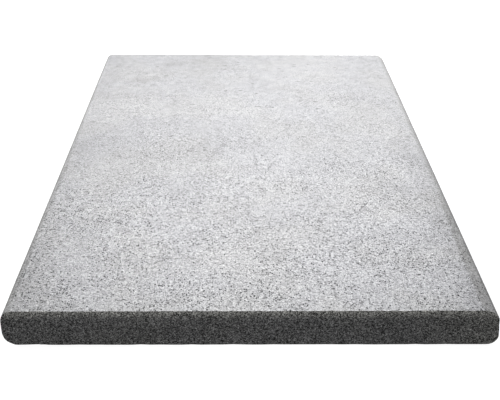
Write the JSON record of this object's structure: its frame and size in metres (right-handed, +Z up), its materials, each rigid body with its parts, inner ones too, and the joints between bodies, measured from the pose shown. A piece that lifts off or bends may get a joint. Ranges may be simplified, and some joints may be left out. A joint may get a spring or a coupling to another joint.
{
  "type": "pool coping stone",
  "caption": "Flat rectangular coping stone of grey natural stone for a pool rim, with a rough tread face, rounded long edges and sawn ends.",
  "frame": {"origin": "middle of the bed face, under the centre of the slab's plan", "axes": "+X across the slab's width, +Y along its length from one sawn end to the other, +Z up from the bed face to the tread face"},
  "size_m": [0.35, 0.5, 0.03],
  "materials": {
    "stone": "matt grey natural stone, fine grained: flamed tread face, smoother ground long edges, darker sawn ends"
  },
  "bodies": {
    "root": {"coping_stone": "stone"}
  },
  "joints": []
}
